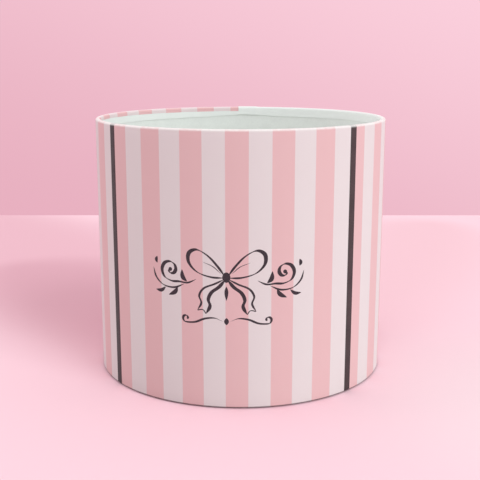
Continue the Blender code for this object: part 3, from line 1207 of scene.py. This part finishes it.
@dataclass(frozen=True)
class Stroke:
    """One stroke of a broad nib, in millimetres from the ornament's middle."""

    points: list[Point]
    thin: float = 0.4  # Width of a stroke along the nib's edge
    thick: float = 1.8  # Width of a stroke across it
    taper: float = 0.16  # Share of the stroke over which each end comes to a point
    fullness: float = 1.0  # How round the ends are, from 1 for a long point to 0.5 for an oval
    nib: float = 25.0  # Direction of the nib's edge, in degrees from the right
    tip: float = 0.06  # Share of the width that is left at the very ends

    def sides(self) -> tuple[np.ndarray, np.ndarray]:
        """Works out the outline of the stroke.

        Returns:
            The points down its two sides.
        """
        path = through(self.points)
        ahead = np.gradient(path, axis=0)
        ahead /= np.linalg.norm(ahead, axis=1, keepdims=True)
        slant = np.abs(np.sin(np.arctan2(ahead[:, 1], ahead[:, 0]) - math.radians(self.nib)))
        share = np.linspace(0.0, 1.0, len(path))
        from_end = np.clip(np.minimum(share, 1 - share) / self.taper, 0.0, 1.0)
        held = np.sin(math.pi / 2 * from_end) ** self.fullness
        width = (self.thin + (self.thick - self.thin) * slant) * (self.tip + (1 - self.tip) * held)
        across = np.stack([-ahead[:, 1], ahead[:, 0]], axis=-1) * width[:, None] / 2
        return path + across, path - across


def leaf(points: list[Point], width: float, fullness: float = 0.9) -> Stroke:
    """Gives a stroke that swells evenly to a width in its middle."""
    return Stroke(points, thin=width, thick=width, taper=0.5, fullness=fullness)


@dataclass(frozen=True)
class BowOrnament:
    """A ribbon bow with scrolls and leaves, and a small divider under it, printed on the front."""

    wrap: OuterWrap
    along: float  # Place of its middle along the sheet
    height: float = 0.0682
    rise: float = 0.000012  # How far the ink stands off the paper
    step: float = 0.0000006  # How much further each stroke stands off than the one before
    sink: float = 0.00004  # How far the strokes reach into the paper

    name: ClassVar[str] = "printed_bow"

    @staticmethod
    def middle() -> list[Stroke]:
        """Draws what lies on the line of symmetry.

        Returns:
            The strokes of the knot, a pendant leaf and the divider's lozenge.
        """
        return [
            leaf([(0.0, 2.6), (0.0, 0.0), (0.0, -2.6)], 4.0, 0.5),
            leaf([(0.0, -4.6), (0.0, -7.6), (0.0, -11.6)], 1.9),
            leaf([(0.0, -20.6), (0.0, -22.4), (0.0, -24.2)], 2.4),
        ]

    @staticmethod
    def half() -> list[Stroke]:
        """Draws the right half, which the left half mirrors.

        Returns:
            The strokes of the loop, the tail, the scrolls, the divider and the leaves.
        """
        loop = [(0.8, 0.6), (4.4, 5.6), (9.2, 10.6), (14.8, 13.4), (18.8, 11.4), (18.8, 6.6), (14.6, 2.2)]
        loop += [(7.8, 0.0), (1.0, -0.3)]
        crease = [(2.6, 1.8), (6.8, 5.4), (11.8, 7.4)]
        tail_inside = [(0.6, -1.1), (3.6, -4.8), (7.4, -7.8), (9.0, -11.4), (8.2, -14.8), (10.2, -18.8)]
        tail_outside = [(1.0, -0.9), (5.8, -3.4), (11.2, -5.8), (13.6, -9.6), (12.6, -13.4), (14.6, -17.2)]
        tail_end = [(10.2, -18.8), (11.8, -16.8), (14.6, -17.2)]
        vine = [(15.2, -1.6), (19.6, -3.6), (24.2, -3.4), *curl((28.9, 2.4), -95, 450, 5.9, 1.0)]
        swash = [(21.4, -4.4), (27.0, -6.7), (33.2, -6.0), (37.4, -2.4), (39.0, 2.4)]
        divider = [(1.8, -22.4), (6.0, -20.8), (11.0, -21.4), (15.8, -23.4)]
        divider += curl((20.6, -21.7), -90, 330, 2.1, 0.6)
        return [
            Stroke(loop, thick=2.1, taper=0.1),
            Stroke(crease, thin=0.3, thick=0.9, taper=0.45),
            Stroke(tail_inside),
            Stroke(tail_outside, thick=1.1),
            Stroke(tail_end, thin=0.4, thick=0.6, taper=0.05),
            Stroke(vine, thick=1.9),
            Stroke(swash, thick=1.5, taper=0.3),
            Stroke(divider, thick=1.3),
            leaf([(20.0, -3.0), (22.2, -0.8), (22.6, 2.8)], 2.3),
            leaf([(25.0, -6.4), (26.6, -9.0), (30.0, -10.8)], 2.2),
            leaf([(31.8, -7.0), (34.4, -9.0), (37.6, -9.0)], 1.8),
            leaf([(36.6, 4.8), (37.2, 6.4), (36.6, 8.2)], 1.8),
            leaf([(28.0, 2.4), (29.0, 2.4), (30.0, 2.4)], 2.0, 0.5),
        ]

    def rolled_on(self, flat: np.ndarray, level: float) -> np.ndarray:
        """Rolls points from the drawing onto the wrap.

        Args:
            flat: Points in millimetres from the ornament's middle.
            level: How far off the paper they lie.

        Returns:
            Points in the box's frame.
        """
        azimuth = (self.along + flat[:, 0] / 1000) / self.wrap.radius
        height = self.height + flat[:, 1] / 1000
        radius = self.wrap.radius + self.wrap.unevenness(azimuth, height[:, None])[:, 0] + level
        return in_frame(radius, azimuth, height)

    def build(self, finish: bpy.types.Material) -> None:
        """Builds every stroke as a thin closed body.

        Args:
            finish: The ink.
        """
        strokes = [stroke.sides() for stroke in self.half()]
        mirror = np.array([-1.0, 1.0])
        strokes += [(right * mirror, left * mirror) for left, right in strokes]
        strokes += [stroke.sides() for stroke in self.middle()]
        shape = bmesh.new()
        for number, (left, right) in enumerate(strokes):
            rise = self.rise + number * self.step
            corners = ((left, rise), (right, rise), (right, -self.sink), (left, -self.sink))
            rings = np.stack([self.rolled_on(flat, level) for flat, level in corners], axis=1)
            loops = skin(shape, rings.tolist())
            shape.faces.new(loops[0])
            shape.faces.new(loops[-1])
        add_piece(self.name, mesh_of(shape, self.name, finish))


# Boards


class Board(Enum):
    """The greyboard nodes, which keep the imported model's own meshes."""

    OUTER_PLY = "wall_outer_ply"
    INNER_PLY = "wall_inner_ply"
    LOWER_BASE = "base_lower_board"
    UPPER_BASE = "base_upper_board"


def dress_boards() -> None:
    """Gives the greyboard nodes their finish."""
    finish = Greyboard().material()
    for board in Board:
        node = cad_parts[board.value]
        node.data.materials.clear()
        node.data.materials.append(finish)
        log.info("%s: greyboard finish", board.value)


# Studio


@dataclass(frozen=True)
class Lamp:
    """A far, soft lamp."""

    name: str
    colour: str
    level: float  # Level of its light on a face turned to it
    azimuth: float  # Where it stands, in degrees from the front towards the right
    elevation: float  # How high it stands, in degrees
    spread: float  # Angle that it fills, in degrees, which sets how soft its shadows are

    def hang(self) -> None:
        """Hangs the lamp, turned to the box."""
        data = bpy.data.lights.new(self.name, "SUN")
        data.color = linear(self.colour)[:3]
        data.energy = self.level * math.pi
        data.angle = math.radians(self.spread)
        lamp = bpy.data.objects.new(self.name, data)
        lamp.rotation_euler = (math.radians(90 - self.elevation), 0.0, math.radians(self.azimuth))
        bpy.context.scene.collection.objects.link(lamp)


@dataclass(frozen=True)
class Studio:
    """A pale table in front of a far pink wall, under an even, bright light with three soft lamps."""

    table_edge: float = 0.4371  # Distance of the table's far edge behind the box's axis
    table_half_width: float = 3.0
    table_level: float = -0.00005  # Height of the table top, a hair under the box
    wall_dim: str = "#E8B0C0"  # The wall's colour low down on the left
    wall_bright: str = "#FFD5E2"  # Its colour high up on the right
    wall_start: float = 0.497  # How bright it is straight ahead, from 0 for wall_dim to 1 for wall_bright
    wall_up: float = 1.52  # How much brighter it gets towards straight up
    wall_right: float = 0.66  # How much brighter it gets towards the right
    sky_colour: str = "#FFFCFD"
    level_sky: float = 0.71  # Level of the light that comes in flat
    overhead_sky: float = 0.22  # How much more comes from straight above
    # The key in front on the right, which throws the box's shadow, the side lamp low on the right, which
    # models the round of the wall, and the fill on the left and a little behind, which opens the shade
    # inside the rim
    lamps: tuple[Lamp, ...] = (
        Lamp("key", "#F4FFFE", 0.21, azimuth=45.0, elevation=42.0, spread=26.0),
        Lamp("side", "#EAFFFC", 0.06, azimuth=80.0, elevation=20.0, spread=40.0),
        Lamp("fill", "#FFFBFC", 0.15, azimuth=-105.0, elevation=25.0, spread=50.0),
    )

    def build(self) -> None:
        """Lays the table, and sets the light and the wall's colour."""
        self.table()
        self.surroundings()
        for lamp in self.lamps:
            lamp.hang()

    def table(self) -> None:
        """Lays the table top just under the box."""
        half, edge = self.table_half_width, self.table_edge
        outline = ((-half, -half), (half, -half), (half, edge), (-half, edge))
        mesh = bpy.data.meshes.new("table_top")
        mesh.from_pydata([(x, y, self.table_level) for x, y in outline], [], [(0, 1, 2, 3)])
        mesh.materials.append(StudioPaint().material())
        top = bpy.data.objects.new("table_top", mesh)
        bpy.context.scene.collection.objects.link(top)

    def surroundings(self) -> None:
        """Lights the room, brighter overhead, and shows the wall wherever the room itself is seen."""
        world = bpy.data.worlds.new("room")
        bpy.context.scene.world = world
        world.use_nodes = True
        tree = world.node_tree
        tree.nodes.clear()
        node = partial(add_node, tree)
        right = node("SeparateXYZ", {"Vector": node("TexCoord", output="Generated")}, "X")
        up = right.node.outputs["Z"]
        above = node("Math", {0: up, 1: 0.0}, operation="MAXIMUM")
        sky = node("Math", {0: above, 1: self.overhead_sky, 2: self.level_sky}, operation="MULTIPLY_ADD")
        light = node("Background", {"Color": linear(self.sky_colour), "Strength": sky})

        lift = node("Math", {0: up, 1: self.wall_up, 2: self.wall_start}, operation="MULTIPLY_ADD")
        lift = node("Math", {0: right, 1: self.wall_right, 2: lift}, operation="MULTIPLY_ADD")
        lift = node("MapRange", {"Value": lift}, interpolation_type="SMOOTHSTEP")
        wall = {AMOUNT: lift, UNDER: linear(self.wall_dim), OVER: linear(self.wall_bright)}
        wall = node("Mix", wall, MIXED, data_type="RGBA")
        wall = node("Background", {"Color": wall, "Strength": 1.0})
        mixed = node("MixShader", {0: seen_directly(tree), 1: light, 2: wall})
        node("OutputWorld", {"Surface": mixed})


@dataclass(frozen=True)
class Viewpoint:
    """The camera of the photograph, found from the rim's and the foot's outlines."""

    distance: float = 0.4926
    height: float = 0.1783
    pitch: float = math.radians(12.475)  # How far down it looks
    yaw: float = math.radians(-0.035)  # How far it is turned to the right
    focal_px: float = 877.0  # Focal length, in pixels of the frame
    frame_px: float = 480.0
    sensor_mm: float = 36.0
    nearest: float = 0.01  # Distance from which things are seen
    furthest: float = 50.0  # Distance up to which they are seen

    def build(self) -> None:
        """Sets up the camera."""
        data = bpy.data.cameras.new("viewpoint")
        data.sensor_width = self.sensor_mm
        data.lens = self.focal_px / self.frame_px * self.sensor_mm
        data.clip_start = self.nearest
        data.clip_end = self.furthest
        camera = bpy.data.objects.new("viewpoint", data)
        bpy.context.scene.collection.objects.link(camera)
        turned = Euler((math.pi / 2 - self.pitch, 0.0, -self.yaw)).to_matrix().to_4x4()
        camera.matrix_world = Matrix.Translation((0.0, -self.distance, self.height)) @ turned
        bpy.context.scene.camera = camera


def main() -> None:
    """Builds the box's paper, dresses its boards, and sets the studio round it."""
    logging.basicConfig(level=logging.INFO, format="%(name)s: %(message)s")
    sizes = BoxSizes.from_frame()
    papers = {paper: UncoatedPaper(*paper.value).material() for paper in PlainPaper}
    lining_paper = papers[PlainPaper.LINING]
    lining = WallLining(sizes=sizes)
    lining.build(lining_paper, lining_paper)
    layout = PrintLayout(sizes.outer_radius, sizes.top - sizes.tab_height)
    wrap = OuterWrap(sizes=sizes, layout=layout, doubled=lining.doubled())
    wrap.build(LithoPrintedPaper(layout).material(), papers[PlainPaper.WRAP_BACK])
    BowOrnament(wrap, layout.line_centre).build(PrintedInk().material())
    PaperDisc("floor_disc", "floor_lining", "lining_paper", lining, bulge=-0.00012).build(lining_paper)
    cover = PaperDisc("cover_disc", "base_cover", "cover_paper", wrap, bulge=0.00015)
    cover.build(papers[PlainPaper.COVER])
    dress_boards()
    Studio().build()
    Viewpoint().build()
    bpy.context.scene.view_settings.view_transform = "Standard"


if __name__ == "__main__":
    main()
